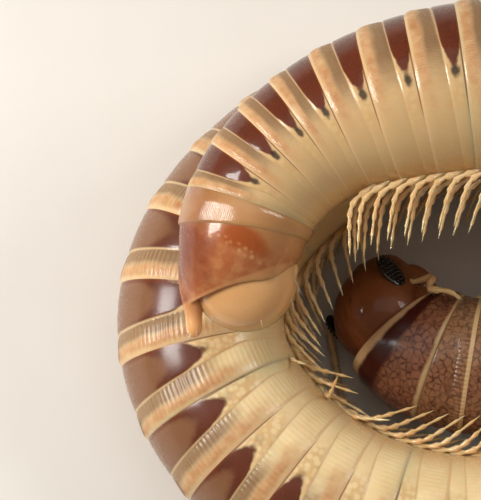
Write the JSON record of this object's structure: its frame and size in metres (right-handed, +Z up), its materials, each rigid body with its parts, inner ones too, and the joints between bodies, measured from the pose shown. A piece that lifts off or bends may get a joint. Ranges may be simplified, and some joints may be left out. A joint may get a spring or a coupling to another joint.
{
  "type": "blunt-tailed snake millipede",
  "caption": "Life-size snake millipede lying on its side in a loose coil, head in the middle and blunt clubbed tail on top.",
  "frame": {"origin": "middle of the coil's box, on the floor it lies on", "axes": "+Z up, away from the floor and along the shortest side of the box; +X along the longest side, to the right in the picture; +Y away from the viewer"},
  "size_m": [0.0078, 0.0062, 0.0035],
  "materials": {
    "cuticle": "glossy, slightly translucent brown cuticle with chestnut and orange-tan bands fading to cream at the belly",
    "pale_cuticle": "smooth translucent tan cuticle",
    "limb": "pale translucent limb cuticle",
    "eye": "black glossy patch of simple eyes"
  },
  "bodies": {
    "root": {"antenna_lower": "limb", "antenna_upper": "limb", "belly_scale": "pale_cuticle", "cheek_lower": "cuticle", "cheek_upper": "cuticle", "chin": "pale_cuticle", "collum": "cuticle", "eye_lower": "eye", "eye_upper": "eye", "head": "cuticle", "telson": "cuticle", "trunk_01": "cuticle", "trunk_02": "cuticle", "trunk_03": "cuticle", "trunk_04": "cuticle", "trunk_05": "cuticle", "trunk_06": "cuticle", "trunk_07": "cuticle", "trunk_08": "cuticle", "trunk_09": "cuticle", "trunk_10": "cuticle", "trunk_11": "cuticle", "trunk_12": "cuticle", "valve_lower": "pale_cuticle", "valve_upper": "pale_cuticle"}
  },
  "joints": []
}
